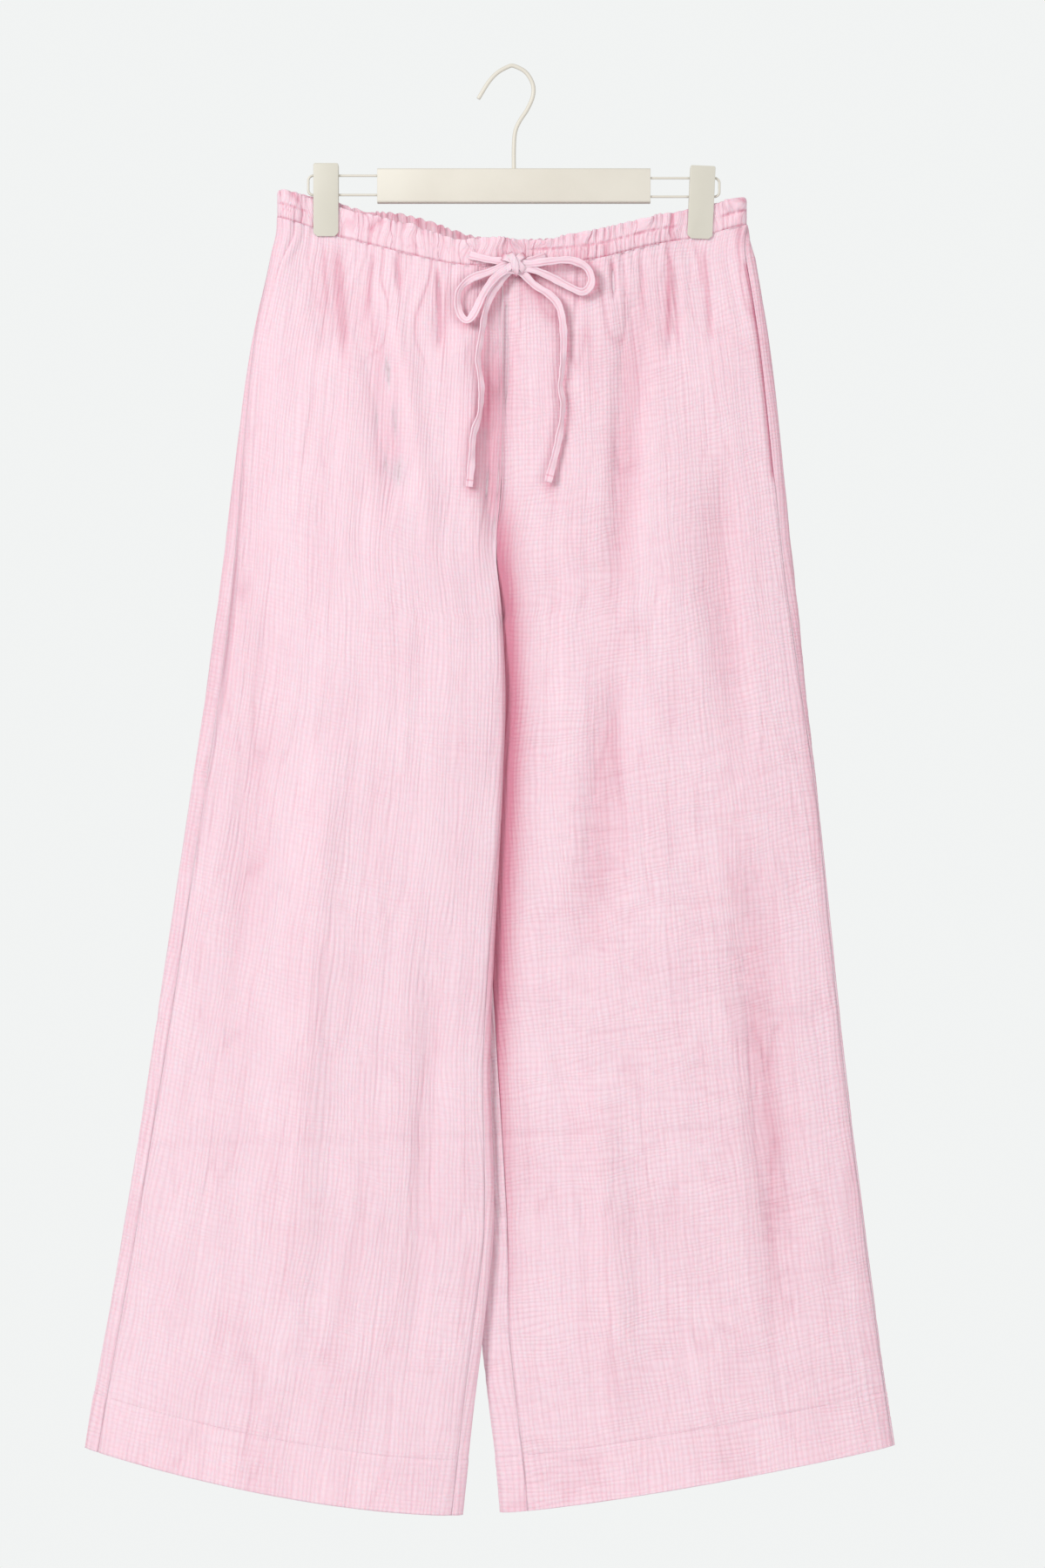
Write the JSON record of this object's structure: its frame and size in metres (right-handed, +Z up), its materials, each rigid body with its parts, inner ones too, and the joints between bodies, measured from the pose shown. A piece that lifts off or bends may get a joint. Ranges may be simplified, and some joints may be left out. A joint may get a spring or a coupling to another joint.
{
  "type": "gauze trousers on a clip hanger",
  "caption": "Wide-leg gauze trousers with a gathered elastic waist and a tied drawstring, hanging from a metal clip hanger by its hook.",
  "frame": {"origin": "underside of the crown of the hanger's hook, where a rail or wall hook carries it", "axes": "+Z up, -Y is the front of the trousers, +X is the wearer's left"},
  "size_m": [0.6632, 0.0477, 1.1884],
  "materials": {
    "gauze": "matt crinkled double gauze",
    "hanger_paint": "satin"
  },
  "bodies": {
    "root": {"front_right_leg": "gauze", "front_left_leg": "gauze", "back_right_leg": "gauze", "back_left_leg": "gauze", "waistband_front": "gauze", "waistband_back": "gauze", "pocket_left": "gauze", "pocket_right": "gauze", "tie_lead_right": "gauze", "tie_lead_left": "gauze", "tie_loop_right": "gauze", "tie_loop_left": "gauze", "tie_end_right": "gauze", "tie_end_left": "gauze", "tie_knot": "gauze", "hanger_bar": "hanger_paint", "hanger_hook": "hanger_paint", "hanger_loop_right": "hanger_paint", "hanger_loop_left": "hanger_paint", "clip_right_front_jaw": "hanger_paint", "clip_right_back_jaw": "hanger_paint", "clip_right_block": "hanger_paint", "clip_left_front_jaw": "hanger_paint", "clip_left_back_jaw": "hanger_paint", "clip_left_block": "hanger_paint"}
  },
  "joints": []
}
